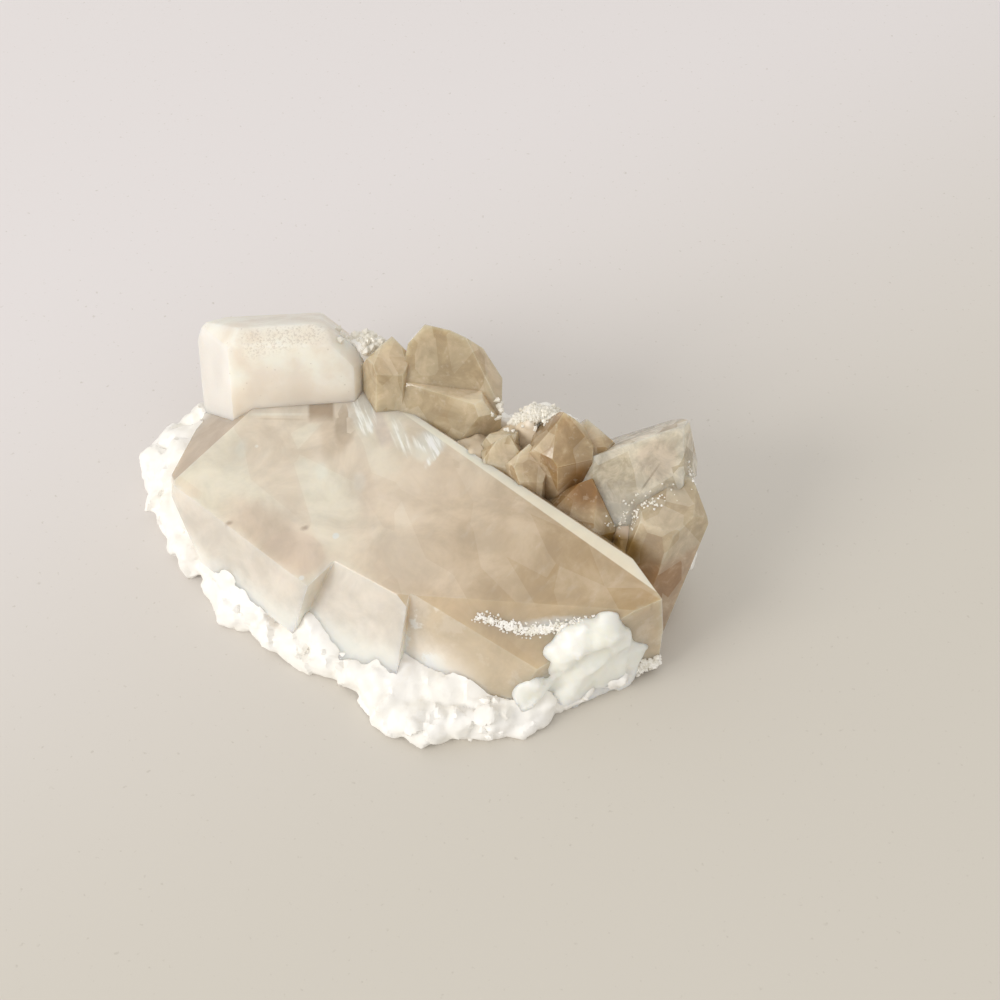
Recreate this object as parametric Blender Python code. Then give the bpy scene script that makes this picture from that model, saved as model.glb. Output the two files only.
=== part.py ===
"""A smoky quartz cluster: flat-faced crystals grown together on a milky quartz base, as one solid.

The long crystal lies across the base with its tip to the left. A stubby crystal stands behind
its tip, a row of short crystals stands along its far side, and two crystals close the right end.
Lengths below are millimetres and angles are degrees. The scene is in metres, +Z up, with the
origin under the middle of the cluster, on the surface that it lies on.
"""

import math
import random

import bmesh
import bpy
from mathutils import Matrix, Vector

MM = 0.001

# Quartz habit: six prism faces, and six tip faces whose normals lean this far from the long axis.
FACE_STEP = 60.0
TIP_LEAN = 51.79

# The measured positions start from a point on the surface; the footprint's middle lies here.
FOOTPRINT_MIDDLE = Vector((-2.28, -5.18, 0.0))

QUARTZ_IOR = 1.544

BLANK_HALF = 120.0
BLOCK_DEPTH = 40.0

# Lumps of milky quartz: how many planes cut one, how far each plane leans off an even spread, and how
# deep it may cut. Lumps along a path also wander and vary in size.
LARGE_FACETS = 26
SMALL_FACETS = 14
FACET_LEAN = 0.25
DEEPEST_CUT = 0.86
WANDER = 0.5
SMALLEST, LARGEST = 0.75, 1.15

# Each crystal: name, tip, heading, rise, roll, length, flats, setbacks, chips
CRYSTALS = (
    ("main_crystal", (-34.4, 16.9, 9.1), 140, 2, -8, 84,
     (8.3, 17.5, 17, 7, 17, 17.4), (0, 5, 3, 4.5, 2.8, 11),
     ((29, 5, 18.2), (-5, 0, 35.5), (-67, 3, 36), (-101, 57, 24.2))),
    ("second_crystal", (-19.9, 24.4, 31.2), 90, 65, 0, 34,
     (7, 11.6, 13, 8, 16.5, 11.4), (0, 2.5, 3, 2, 9, 5),
     ((95, 55, 33.4), (60, 59, 27.1), (40, 36, 16))),
    ("row_crystal_1", (-4.8, 15.2, 27.2), 80, 72, 10, 22,
     (3.6, 3.4, 4, 4, 4, 3.6), (0, 1, 0, 1, 0, 1), ()),
    ("row_crystal_2", (3, 14, 36), 60, 85, 0, 30,
     (9, 9, 9, 9, 9, 9), (3, 3, 3, 3, 3, 3),
     ((-97, 28, 1.4), (-13, 34, 18.6), (73, 37, 29.3), (60, 34, 28.1),
      (140, 24, 20.7), (170, 9, 8.9), (30, 20, 22.4))),
    ("row_crystal_3", (3, 11, 26), 60, 85, 0, 20,
     (9, 9, 9, 9, 9, 9), (3, 3, 3, 3, 3, 3),
     ((-110, 30, 3.4), (-66, 0, -1.8), (-77, 86, 21.4), (-165, 20, 7.8), (20, 10, 15.7))),
    ("row_crystal_4", (13.5, 3.2, 19.8), 32, 50, 0, 14,
     (2.6, 3, 3, 3, 3, 3), (0, 1, 0, 1, 0, 1), ()),
    ("row_crystal_5", (20, 1.4, 25.6), 90, 80, 20, 22,
     (4.6, 4.6, 4.6, 4.6, 4.6, 4.6), (0, 1, 0, 1, 0, 1), ()),
    ("row_crystal_6", (12.2, 1.5, 20.9), 70, 75, 0, 18,
     (3, 3.6, 3, 3, 3, 3.6), (0, 1, 0, 1, 0, 1), ()),
    ("row_crystal_7", (15.2, -0.4, 21), 75, 70, 20, 18,
     (3.4, 3.4, 3, 3, 3, 3), (0, 1, 0, 1, 0, 1), ()),
    ("row_crystal_8", (24, -5.2, 19), 60, 70, 0, 18,
     (4.5, 5.5, 5, 4, 4, 5.5), (0, 1, 0, 1, 0, 1), ()),
    ("row_crystal_9", (23.4, 2, 23.5), 95, 78, 0, 18,
     (3.6, 3.6, 3.6, 3.6, 3.6, 3.6), (0, 1, 0, 1, 0, 1), ()),
    ("clear_crystal", (36.7, 0, 28), 14, 60, 10, 19,
     (7, 8, 7, 8.4, 7, 7), (2, 2, 2, 2, 2, 2),
     ((-100, 48, 14.1), (120, 47, 5.3), (-16, 17, 41.1))),
    ("end_crystal", (37.9, -4.6, 19.2), 57, 52, 10, 28,
     (6, 4.4, 4.4, 6, 6, 6), (0, 1, 0, 1, 0, 1), ()),
)

# Each lump of the base: middle, radii, turn, seed
LUMPS = (
    ((-34.4, 9.5, 2.5), (11, 9, 8), 0, 1),
    ((-29.5, 2, 2.5), (11, 9, 8), 0, 2),
    ((-21, -8.5, 2), (11.5, 10.5, 7.5), 0, 3),
    ((-11.5, -17.5, 1), (12, 9.5, 6.5), 0, 4),
    ((0, -28, 0), (10, 8.5, 4.6), -25, 5),
    ((9, -29.5, 0), (12, 8, 4), 0, 6),
    ((22.5, -24.2, 5), (9.6, 6.8, 10.4), 22, 7),
    ((30, -7, 5), (7, 13, 9), 0, 9),
    ((12, 5, 5), (17, 12, 14), 0, 10),
    ((-12, 14, 5), (19, 12, 11.5), 0, 11),
    ((-9, 18.5, 17.5), (5, 4, 7), 0, 12),
    ((16.5, 5.8, 16.5), (5.5, 5, 8), 0, 13),
    ((-4, -6, 1), (30, 18, 9), -38, 14),
)

# Each string of small lumps: corners of its path, spacing, lump radius, seed
STRINGS = (
    (((-42, 10.5, 3), (-39.4, 1.5, 2), (-34, -6, 2), (-25.8, -16.2, 2), (-21.3, -19.6, 2), (-15, -22.8, 2),
      (-9.5, -26.4, 2), (-2, -34, 2), (3, -35.4, 2), (9, -34.8, 2), (14.6, -33.4, 2), (19.2, -29.6, 2),
      (25.2, -27.4, 3), (31.6, -23.4, 1.6)), 3.2, 2.8, 21),
    (((-41, 15, 4), (-37, 19, 3), (-28, 23, 3), (-12, 24, 4), (2, 18, 4), (14, 16, 4), (27, 8, 4),
      (36, -2, 4)), 4.6, 3.8, 22),
    (((-12.5, 18.5, 23), (-8, 18.5, 24.4), (-5.5, 17.5, 23)), 1.7, 1.5, 23),
    (((12, 7.5, 22.5), (16, 6, 24), (19, 4.5, 22.5)), 1.8, 1.6, 24),
    (((14, -32, 4.5), (17, -29.5, 9), (20.5, -28.5, 13), (25, -27, 13.5), (29.5, -25.5, 9)), 3, 2.6, 25),
)

# The notches in the long crystal's front, where parallel crystals grew: name, planes that bound
# the notch as (heading, rise, offset)
NOTCHES = (
    ("front_notch", ((58.5, -36, -25), (139, 5, -0.5))),
    ("tan_notch", ((66, -25, -24.9), (165, 0, -4.5))),
)


def direction(heading, rise):
    """Unit vector that points heading degrees anticlockwise from +X and rise degrees upwards."""
    turn, lift = math.radians(heading), math.radians(rise)
    return Vector((math.cos(lift) * math.cos(turn), math.cos(lift) * math.sin(turn), math.sin(lift)))


def cut_flat(solid, normal, offset):
    """Cuts a convex solid back to the plane at offset along normal, and closes the cut."""
    normal = normal.normalized()
    everything = solid.verts[:] + solid.edges[:] + solid.faces[:]
    made = bmesh.ops.bisect_plane(
        solid, geom=everything, plane_co=normal * offset, plane_no=normal, clear_outer=True
    )
    rim = [item for item in made["geom_cut"] if isinstance(item, bmesh.types.BMEdge)]
    if rim:
        bmesh.ops.contextual_create(solid, geom=rim)


def blank():
    """A cube that is larger than anything cut from it."""
    solid = bmesh.new()
    bmesh.ops.create_cube(solid, size=2 * BLANK_HALF)
    return solid


def make_object(name, solid, matrix=None):
    """Turns millimetres into metres, and the solid into an object."""
    if matrix is not None:
        bmesh.ops.transform(solid, matrix=matrix, verts=solid.verts)
    bmesh.ops.translate(solid, vec=-FOOTPRINT_MIDDLE, verts=solid.verts)
    bmesh.ops.scale(solid, vec=(MM, MM, MM), verts=solid.verts)
    bmesh.ops.recalc_face_normals(solid, faces=solid.faces)
    mesh = bpy.data.meshes.new(name)
    solid.to_mesh(mesh)
    solid.free()
    made = bpy.data.objects.new(name, mesh)
    bpy.context.scene.collection.objects.link(made)
    return made


def growth_frame(tip, heading, rise, roll):
    """Local +Z runs along the crystal to its tip. Local +X is the side that looks most upwards."""
    along = direction(heading, rise)
    upward = Vector((0, 0, 1)) - along * along.z
    upward.normalize()
    across = along.cross(upward)
    frame = Matrix((upward, across, along)).transposed().to_4x4()
    return Matrix.Translation(Vector(tip)) @ frame @ Matrix.Rotation(math.radians(roll), 4, "Z")


def crystal(name, tip, heading, rise, roll, length, flats, setbacks, chips=()):
    """One quartz crystal.

    flats are the six distances from the axis to the prism faces, counted anticlockwise from the
    upper one as seen from the tip. setbacks say how far past the tip each tip face would meet
    the axis: the larger, the smaller that face. chips are world planes, (heading, rise, offset).
    """
    solid = blank()
    lean = math.radians(TIP_LEAN)
    for step in range(6):
        turn = math.radians(step * FACE_STEP)
        side = Vector((math.cos(turn), math.sin(turn), 0))
        cut_flat(solid, side, flats[step])
        tip_face = side * math.sin(lean) + Vector((0, 0, math.cos(lean)))
        cut_flat(solid, tip_face, setbacks[step] * math.cos(lean))
    cut_flat(solid, Vector((0, 0, -1)), length)
    matrix = growth_frame(tip, heading, rise, roll)
    bmesh.ops.transform(solid, matrix=matrix, verts=solid.verts)
    for chip_heading, chip_rise, offset in chips:
        cut_flat(solid, direction(chip_heading, chip_rise), offset)
    return make_object(name, solid)


def lump(name, middle, radii, turn, seed, facets=LARGE_FACETS):
    """One angular lump of the base: a blank cut by planes that touch an ellipsoid, at seeded places."""
    chance = random.Random(seed)
    solid = blank()
    golden = math.pi * (3 - math.sqrt(5))
    for index in range(facets):
        height = 1 - 2 * (index + 0.5) / facets
        around = golden * index
        reach = math.sqrt(1 - height * height)
        normal = Vector((reach * math.cos(around), reach * math.sin(around), height))
        normal += Vector([chance.uniform(-FACET_LEAN, FACET_LEAN) for _ in range(3)])
        normal.normalize()
        stretched = Vector([normal[k] * radii[k] for k in range(3)])
        cut_flat(solid, normal, stretched.length * chance.uniform(DEEPEST_CUT, 1.0))
    matrix = Matrix.Translation(Vector(middle)) @ Matrix.Rotation(math.radians(turn), 4, "Z")
    return make_object(name, solid, matrix)


def lump_string(name, corners, spacing, radius, seed):
    """Small lumps at seeded places along a path."""
    chance = random.Random(seed)
    made = []
    for start, end in zip(corners, corners[1:]):
        start, end = Vector(start), Vector(end)
        count = max(1, round((end - start).length / spacing))
        for step in range(count):
            wander = Vector([chance.uniform(-WANDER, WANDER) for _ in range(3)])
            middle = start.lerp(end, step / count) + wander
            radii = [radius * chance.uniform(SMALLEST, LARGEST) for _ in range(3)]
            turn = chance.uniform(0, 360)
            label = f"{name}_{len(made) + 1}"
            made.append(lump(label, middle, radii, turn, chance.random(), SMALL_FACETS))
    return made


def quartz_material():
    material = bpy.data.materials.new("smoky_quartz")
    material.use_nodes = True
    shader = material.node_tree.nodes["Principled BSDF"]
    shader.inputs["Base Color"].default_value = (0.62, 0.53, 0.42, 1)
    shader.inputs["Roughness"].default_value = 0.35
    shader.inputs["IOR"].default_value = QUARTZ_IOR
    return material


def clear_scene():
    for old in list(bpy.data.objects):
        bpy.data.objects.remove(old)


def below_ground():
    """A block whose top is the surface that the cluster rests on."""
    solid = blank()
    cut_flat(solid, Vector((0, 0, 1)), 0)
    cut_flat(solid, Vector((0, 0, -1)), BLOCK_DEPTH)
    return make_object("below_ground", solid)


def notch(name, planes):
    """A wedge bounded by these planes, to cut away."""
    solid = blank()
    for heading, rise, offset in planes:
        cut_flat(solid, direction(heading, rise), offset)
    return make_object(name, solid)


def combine(target, other, operation):
    """Adds or removes another solid, and keeps that solid as a hidden helper."""
    boolean = target.modifiers.new(f"{operation.lower()} {other.name}", "BOOLEAN")
    boolean.operation = operation
    boolean.solver = "EXACT"
    boolean.object = other
    other.hide_render = True
    other.display_type = "WIRE"


def main():
    clear_scene()
    pieces = [crystal(*row) for row in CRYSTALS]
    for index, (middle, radii, turn, seed) in enumerate(LUMPS):
        pieces.append(lump(f"lump_{index + 1}", middle, radii, turn, seed))
    for index, row in enumerate(STRINGS):
        pieces += lump_string(f"string_{index + 1}", *row)
    core = pieces[0].copy()
    core.name = "quartz_cluster"
    core.data = pieces[0].data.copy()
    bpy.context.scene.collection.objects.link(core)
    pieces[0].hide_render = True
    pieces[0].display_type = "WIRE"
    for row in NOTCHES:
        combine(core, notch(*row), "DIFFERENCE")
    for piece in pieces[1:]:
        combine(core, piece, "UNION")
    combine(core, below_ground(), "DIFFERENCE")
    core.data.materials.append(quartz_material())


main()
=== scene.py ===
"""The looks of the smoky quartz cluster: cloudy crystals on milky quartz, on a pale table, in soft light.

Tables below hold millimetres and degrees, measured from the same point on the table as the model's
own. Crystals are convex solids cut by planes. The milky quartz is remeshed and given fine crags,
and patches of tiny crystals grow on it.
"""

import math
import random

import bmesh
import bpy
from mathutils import Matrix, Vector, noise
from mathutils.bvhtree import BVHTree


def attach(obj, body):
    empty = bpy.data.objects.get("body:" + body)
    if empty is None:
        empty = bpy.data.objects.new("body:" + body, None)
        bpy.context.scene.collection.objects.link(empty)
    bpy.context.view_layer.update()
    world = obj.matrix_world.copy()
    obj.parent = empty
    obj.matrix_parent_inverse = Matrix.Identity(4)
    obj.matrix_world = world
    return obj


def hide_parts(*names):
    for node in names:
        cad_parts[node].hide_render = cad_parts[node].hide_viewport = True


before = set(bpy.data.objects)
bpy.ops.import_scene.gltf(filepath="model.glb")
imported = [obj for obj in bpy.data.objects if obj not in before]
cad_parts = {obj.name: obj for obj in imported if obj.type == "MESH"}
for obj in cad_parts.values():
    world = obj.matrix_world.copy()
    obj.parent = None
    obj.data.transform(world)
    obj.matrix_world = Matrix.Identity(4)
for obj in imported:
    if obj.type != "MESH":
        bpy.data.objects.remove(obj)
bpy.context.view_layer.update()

MM = 0.001
NODE = "quartz_cluster"
FOOTPRINT_MIDDLE = Vector((-2.28, -5.18, 0.0))

# Quartz: the angle between its sides, and the angle between a tip face's normal and the long axis
FACE_STEP = 60.0
TIP_LEAN = 51.79
QUARTZ_IOR = 1.544
TABLE_IOR = 1.45
SCATTER_BY_COLOUR = (1.0, 0.92, 0.80)

# Half the cube that every solid is cut from, and how far over the table the crystals end
BLANK_HALF = 120.0
GROUND_GAP = 0.06

# Lumps: how many flat facets, how they vary, and how the lumps of a string vary
LARGE_FACETS = 26
SMALL_FACETS = 14
FACET_TILT = 0.25
LEAST_FACET_REACH = 0.86
STRING_SHIFT = 0.5
STRING_SIZES = (0.75, 1.15)

# Tiny crystals: how far away a surface may be, in millimetres, and then their shape by their radius
ROOT_REACH = 2.5
ROOT_SINK = 0.3
LEAST_ROOT_HEIGHT = 2.0
TINY_SIZES = (0.5, 1.3)
TINY_TILT = 0.6
TINY_SHOULDERS = (0.4, 1.4)
TINY_POINTS = (0.7, 1.0)
TINY_NARROW, TINY_WIDE = 0.8, 1.05

# Crags: shift between layers, and the step that gives each cell a tilt of its own
LAYER_SHIFT = 3.7
CELL_STEP = 7.31

# Each milky skin: voxel, smoothing, crags as (cell, height), smoothing again, shading angle
BASE_SKIN = (0.45, 16, ((4.2, 0.24), (1.6, 0.18)), 2, 35.0)
LUMP_SKIN = (0.4, 20, ((5.0, 0.12), (1.5, 0.09)), 3, 40.0)

# Widths of worn edges, and the angles over which an edge is worn or shaded sharp
WORN_EDGE = 0.1
FROSTED_EDGE = 0.4
MAIN_EDGE = 0.12
MAIN_WORN_ANGLE = 32
MAIN_SHARP_ANGLE = 12.0
SHARP_ANGLE = 28.0
TINY_SHARP_ANGLE = 5.0

# How finely the painted light and shade change from one flat face to the next
FACET_LIGHT_AND_SHADE_SCALE = 3.1

# The camera's place and half the table's width are in metres
CAMERA_PLACE = (0.01328, -0.12852, 0.16734)
CAMERA_TILT = 40
CAMERA_LENS = 50
TABLE_HALF = 1.5
SKY_COLOUR = (1.0, 0.98, 0.95, 1.0)
SKY_STRENGTH = 0.78

# Each crystal: tip, heading, rise, roll, length, flats, setbacks, chips. Flats are the distances of the
# six sides from the long axis. Setbacks are how far past the tip each tip face meets that axis. Chips are
# more planes that cut it, as (heading, rise, offset).
CRYSTALS = {
    "main_crystal": ((-34.4, 16.9, 9.1), 140, 2, -8, 84,
                     (8.3, 17.5, 17, 7, 17, 17.4), (0, 5, 3, 4.5, 2.8, 11),
                     ((29, 5, 18.2), (-5, 0, 35.5), (-67, 3, 36), (-101, 57, 24.2))),
    "second_crystal": ((-19.9, 24.4, 31.2), 90, 65, 0, 34,
                       (7, 11.6, 13, 8, 16.5, 11.4), (0, 2.5, 3, 2, 9, 5),
                       ((95, 55, 33.4), (60, 59, 27.1), (40, 36, 16))),
    "row_crystal_1": ((-4.8, 15.2, 27.2), 80, 72, 10, 22,
                      (3.6, 3.4, 4, 4, 4, 3.6), (0, 1, 0, 1, 0, 1), ()),
    "row_crystal_2": ((3, 14, 36), 60, 85, 0, 30,
                      (9, 9, 9, 9, 9, 9), (3, 3, 3, 3, 3, 3),
                      ((-97, 28, 1.4), (-13, 34, 18.6), (73, 37, 29.3), (60, 34, 28.1),
                       (140, 24, 20.7), (170, 9, 8.9), (30, 20, 22.4))),
    "row_crystal_3": ((3, 11, 26), 60, 85, 0, 20,
                      (9, 9, 9, 9, 9, 9), (3, 3, 3, 3, 3, 3),
                      ((-110, 30, 3.4), (-66, 0, -1.8), (-77, 86, 21.4), (-165, 20, 7.8), (20, 10, 15.7))),
    "row_crystal_4": ((13.5, 3.2, 19.8), 32, 50, 0, 14,
                      (2.6, 3, 3, 3, 3, 3), (0, 1, 0, 1, 0, 1), ()),
    "row_crystal_5": ((20, 1.4, 25.6), 90, 80, 20, 22,
                      (4.6, 4.6, 4.6, 4.6, 4.6, 4.6), (0, 1, 0, 1, 0, 1), ()),
    "row_crystal_6": ((12.2, 1.5, 20.9), 70, 75, 0, 18,
                      (3, 3.6, 3, 3, 3, 3.6), (0, 1, 0, 1, 0, 1), ()),
    "row_crystal_7": ((15.2, -0.4, 21), 75, 70, 20, 18,
                      (3.4, 3.4, 3, 3, 3, 3), (0, 1, 0, 1, 0, 1), ()),
    "row_crystal_8": ((24, -5.2, 19), 60, 70, 0, 18,
                      (4.5, 5.5, 5, 4, 4, 5.5), (0, 1, 0, 1, 0, 1), ()),
    "row_crystal_9": ((23.4, 2, 23.5), 95, 78, 0, 18,
                      (3.6, 3.6, 3.6, 3.6, 3.6, 3.6), (0, 1, 0, 1, 0, 1), ()),
    "clear_crystal": ((36.7, 0, 28), 14, 60, 10, 19,
                      (7, 8, 7, 8.4, 7, 7), (2, 2, 2, 2, 2, 2),
                      ((-100, 48, 14.1), (120, 47, 5.3), (-16, 17, 41.1))),
    "end_crystal": ((37.9, -4.6, 19.2), 57, 52, 10, 28,
                    (6, 4.4, 4.4, 6, 6, 6), (0, 1, 0, 1, 0, 1), ()),
}
ROW = tuple(f"row_crystal_{number}" for number in range(1, 10))

# Each lump of the milky base: middle, radii, turn, seed
LUMPS = (
    ((-34.4, 9.5, 2.5), (11, 9, 8), 0, 1),
    ((-29.5, 2, 2.5), (11, 9, 8), 0, 2),
    ((-21, -8.5, 2), (11.5, 10.5, 7.5), 0, 3),
    ((-11.5, -17.5, 1), (12, 9.5, 6.5), 0, 4),
    ((0, -28, 0), (10, 8.5, 4.6), -25, 5),
    ((9, -29.5, 0), (12, 8, 4), 0, 6),
    ((30, -7, 5), (7, 13, 9), 0, 9),
    ((12, 5, 5), (17, 12, 12), 0, 10),
    ((-12, 14, 5), (19, 12, 10), 0, 11),
    ((-9, 18.5, 17.5), (5, 4, 7), 0, 12),
    ((16.5, 5.4, 15.5), (4.6, 4, 6.4), 0, 13),
    ((-4, -6, 0), (30, 18, 3.5), -38, 14),
)
PALE_LUMPS = (
    ((22.5, -24.2, 5), (9.6, 6.8, 10.4), 22, 7),
    ((18.2, -28.6, 5), (3.6, 2.8, 4.4), 0, 27),
)

# Each string of small lumps: corners of its path, spacing, lump radius, seed
PALE_RIM = (
    ((14, -32, 4.5), (17, -29.5, 9), (20.5, -28.5, 13), (25, -27, 13.5), (29.5, -25.5, 9)), 3, 2.6, 25,
)
STRINGS = (
    (((-42, 10.5, 3), (-39.4, 1.5, 2), (-34, -6, 2), (-25.8, -16.2, 2), (-21.3, -19.6, 2), (-15, -22.8, 2),
      (-9.5, -26.4, 2), (-2, -34, 2), (3, -35.4, 2), (9, -34.8, 2), (14.6, -33.4, 2), (19.2, -29.6, 2),
      (25.2, -27.4, 3), (31.6, -23.4, 1.6)), 3.2, 2.8, 21),
    (((-41, 15, 4), (-37, 19, 3), (-28, 23, 3), (-12, 24, 4), (2, 18, 4), (14, 16, 4), (27, 8, 4),
      (36, -2, 4)), 4.6, 3.8, 22),
)

# Each patch of tiny crystals: corners of its path, how far they spread, how many tries, radius, seed
DRUSE = (
    (((-14, 18, 21), (-9, 18, 22.6), (-4.5, 17, 21)), 1.8, 320, 0.55, 31),
    (((12.5, 6.4, 20.4), (16.4, 5.6, 21.8), (19.6, 4.2, 20.6)), 1.9, 900, 0.3, 32),
    (((7.7, -26.2, 15), (15, -28, 14), (20, -27, 14.2), (26.4, -25.4, 14.4)), 0.7, 900, 0.16, 33),
    (((13.5, -29, 7), (14.5, -30.5, 4), (18, -30, 2.5), (23, -28.4, 2)), 1.6, 260, 0.6, 34),
    (((30.5, -26, 2.6), (33, -25.2, 2.2)), 1.2, 160, 0.35, 35),
    (((27.2, -10.5, 15), (30.7, -8.8, 17), (33.3, -8, 18), (36.9, -5.9, 17.5), (38.8, -3.4, 18)),
     1.8, 190, 0.16, 38),
)
RIM_CRYSTALS = (
    (((-41, 10.5, 1.6), (-38.4, 1.5, 1.4), (-33, -6, 1.4), (-20.6, -18.6, 1.4), (-9, -25.4, 1.4),
      (-2, -33, 1.2), (9, -33.8, 1.2), (14, -32.6, 1.2)), 2.0, 240, 0.55, 36),
)

# Each notch in the long crystal's front: name, planes that bound it as (heading, rise, offset)
NOTCHES = (
    ("front_notch", ((58.5, -36, -25), (139, 5, -0.5))),
    ("tan_notch", ((66, -25, -24.9), (165, 0, -4.5))),
)

# Small inclusions in the long crystal: middle, size
DARK_SPECKS = (
    ((-27.4, -9.7, 14.5), 0.55), ((-16.5, -11, 15), 0.6), ((-28.6, -13.3, 14), 0.3),
    ((31.4, -25.1, 16.3), 0.3), ((-21, -17, 14), 0.5), ((20, -9, 17), 0.3),
)
PALE_SPECKS = (((-16.3, -19, 14), 0.45), ((-24.7, 3.3, 17), 0.35), ((-12, -12.5, 15), 0.6))

# Ways that the long crystal's faces look: heading, rise
BROAD_FACE = (-116, 82)
FRONT_BAND = (-101, 57)
TIP_FACE = (150.6, 53)
SIDE_FACE = (-130, 30)

# Headings of the upright sides of the notches
NOTCH_SIDES = (-41, -15)

# Painted shade, a deep orange brown, in the hollow between the long crystal and the clear one: middle,
# radii, turn, soft edge
SHADED_HOLLOW = ((28.0, -13.2, 13.5), (4.8, 2.6, 6), -36, 0.6)


def direction(heading, rise):
    """Unit vector that points heading degrees anticlockwise from +X and rise degrees upwards."""
    turn, lift = math.radians(heading), math.radians(rise)
    return Vector((math.cos(lift) * math.cos(turn), math.cos(lift) * math.sin(turn), math.sin(lift)))


def cut_flat(solid, normal, offset):
    """Cuts a convex solid back to the plane at offset along normal, and closes the cut."""
    normal = normal.normalized()
    everything = solid.verts[:] + solid.edges[:] + solid.faces[:]
    made = bmesh.ops.bisect_plane(
        solid, geom=everything, plane_co=normal * offset, plane_no=normal, clear_outer=True
    )
    rim = [item for item in made["geom_cut"] if isinstance(item, bmesh.types.BMEdge)]
    if rim:
        bmesh.ops.contextual_create(solid, geom=rim)


def blank():
    solid = bmesh.new()
    bmesh.ops.create_cube(solid, size=2 * BLANK_HALF)
    return solid


def soften_edges(solid, width):
    """Rounds the edges of a convex solid a little."""
    bmesh.ops.dissolve_degenerate(solid, dist=0.02, edges=solid.edges)
    bmesh.ops.bevel(
        solid, geom=solid.edges[:], offset=width, segments=2, profile=0.6, affect="EDGES", clamp_overlap=True
    )


def make_object(name, solid, materials=()):
    """Turns table millimetres into the model's metres, and the solid into an object."""
    bmesh.ops.translate(solid, vec=-FOOTPRINT_MIDDLE, verts=solid.verts)
    bmesh.ops.scale(solid, vec=(MM, MM, MM), verts=solid.verts)
    bmesh.ops.recalc_face_normals(solid, faces=solid.faces)
    mesh = bpy.data.meshes.new(name)
    for material in materials:
        mesh.materials.append(material)
    solid.to_mesh(mesh)
    solid.free()
    made = bpy.data.objects.new(name, mesh)
    bpy.context.scene.collection.objects.link(made)
    return made


def growth_frame(tip, heading, rise, roll):
    """Local +Z runs along the crystal to its tip. Local +X is the side that looks most upwards."""
    along = direction(heading, rise)
    upward = Vector((0, 0, 1)) - along * along.z
    upward.normalize()
    across = along.cross(upward)
    turned = Matrix((upward, across, along)).transposed().to_4x4()
    return Matrix.Translation(Vector(tip)) @ turned @ Matrix.Rotation(math.radians(roll), 4, "Z")


def crystal_solid(tip, heading, rise, roll, length, flats, setbacks, chips):
    solid = blank()
    lean = math.radians(TIP_LEAN)
    for step in range(6):
        turn = math.radians(step * FACE_STEP)
        side = Vector((math.cos(turn), math.sin(turn), 0))
        cut_flat(solid, side, flats[step])
        tip_face = side * math.sin(lean) + Vector((0, 0, math.cos(lean)))
        cut_flat(solid, tip_face, setbacks[step] * math.cos(lean))
    cut_flat(solid, Vector((0, 0, -1)), length)
    bmesh.ops.transform(solid, matrix=growth_frame(tip, heading, rise, roll), verts=solid.verts)
    for chip_heading, chip_rise, offset in chips:
        cut_flat(solid, direction(chip_heading, chip_rise), offset)
    cut_flat(solid, Vector((0, 0, -1)), -GROUND_GAP)
    return solid


def crystal(name, material, edge=WORN_EDGE):
    solid = crystal_solid(*CRYSTALS[name])
    soften_edges(solid, edge)
    return make_object(name, solid, (material,))


def lump_solid(middle, radii, turn, seed, facets=LARGE_FACETS):
    chance = random.Random(seed)
    solid = blank()
    golden = math.pi * (3 - math.sqrt(5))
    for index in range(facets):
        height = 1 - 2 * (index + 0.5) / facets
        around = golden * index
        reach = math.sqrt(1 - height * height)
        normal = Vector((reach * math.cos(around), reach * math.sin(around), height))
        normal += Vector([chance.uniform(-FACET_TILT, FACET_TILT) for _ in range(3)])
        normal.normalize()
        stretched = Vector([normal[k] * radii[k] for k in range(3)])
        cut_flat(solid, normal, stretched.length * chance.uniform(LEAST_FACET_REACH, 1.0))
    matrix = Matrix.Translation(Vector(middle)) @ Matrix.Rotation(math.radians(turn), 4, "Z")
    bmesh.ops.transform(solid, matrix=matrix, verts=solid.verts)
    cut_flat(solid, Vector((0, 0, -1)), 0)
    return solid


def string_solids(corners, spacing, radius, seed):
    """Small lumps at seeded places along a path."""
    chance = random.Random(seed)
    made = []
    for start, end in zip(corners, corners[1:]):
        start, end = Vector(start), Vector(end)
        count = max(1, round((end - start).length / spacing))
        for step in range(count):
            shift = Vector([chance.uniform(-STRING_SHIFT, STRING_SHIFT) for _ in range(3)])
            radii = [radius * chance.uniform(*STRING_SIZES) for _ in range(3)]
            turn = chance.uniform(0, 360)
            middle = start.lerp(end, step / count) + shift
            made.append(lump_solid(middle, radii, turn, chance.random(), SMALL_FACETS))
    return made


def tiny_crystal(solid, root, along, radius, chance):
    """Adds a six-sided prism with a pointed end, which starts a little below its root."""
    across = along.orthogonal().normalized()
    aside = along.cross(across)
    turn = chance.uniform(0, math.tau)
    shoulder = radius * chance.uniform(*TINY_SHOULDERS)
    rings = []
    for level in (-radius, shoulder):
        ring = []
        for step in range(6):
            angle = turn + step * math.tau / 6
            reach = radius * (TINY_NARROW if step % 2 else TINY_WIDE)
            offset = across * math.cos(angle) * reach + aside * math.sin(angle) * reach
            ring.append(solid.verts.new(root + offset + along * level))
        rings.append(ring)
    tip = solid.verts.new(root + along * (shoulder + radius * chance.uniform(*TINY_POINTS)))
    low, high = rings
    solid.faces.new(low[::-1])
    for step in range(6):
        after = (step + 1) % 6
        solid.faces.new((low[step], low[after], high[after], high[step]))
        solid.faces.new((high[step], high[after], tip))


def nearest(trees, place):
    """The closest point of the given surfaces, its normal, and how far away it is."""
    found = [tree.find_nearest(place) for tree in trees]
    point, normal, _, distance = min(found, key=lambda hit: hit[3])
    return point, normal, distance


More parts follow.
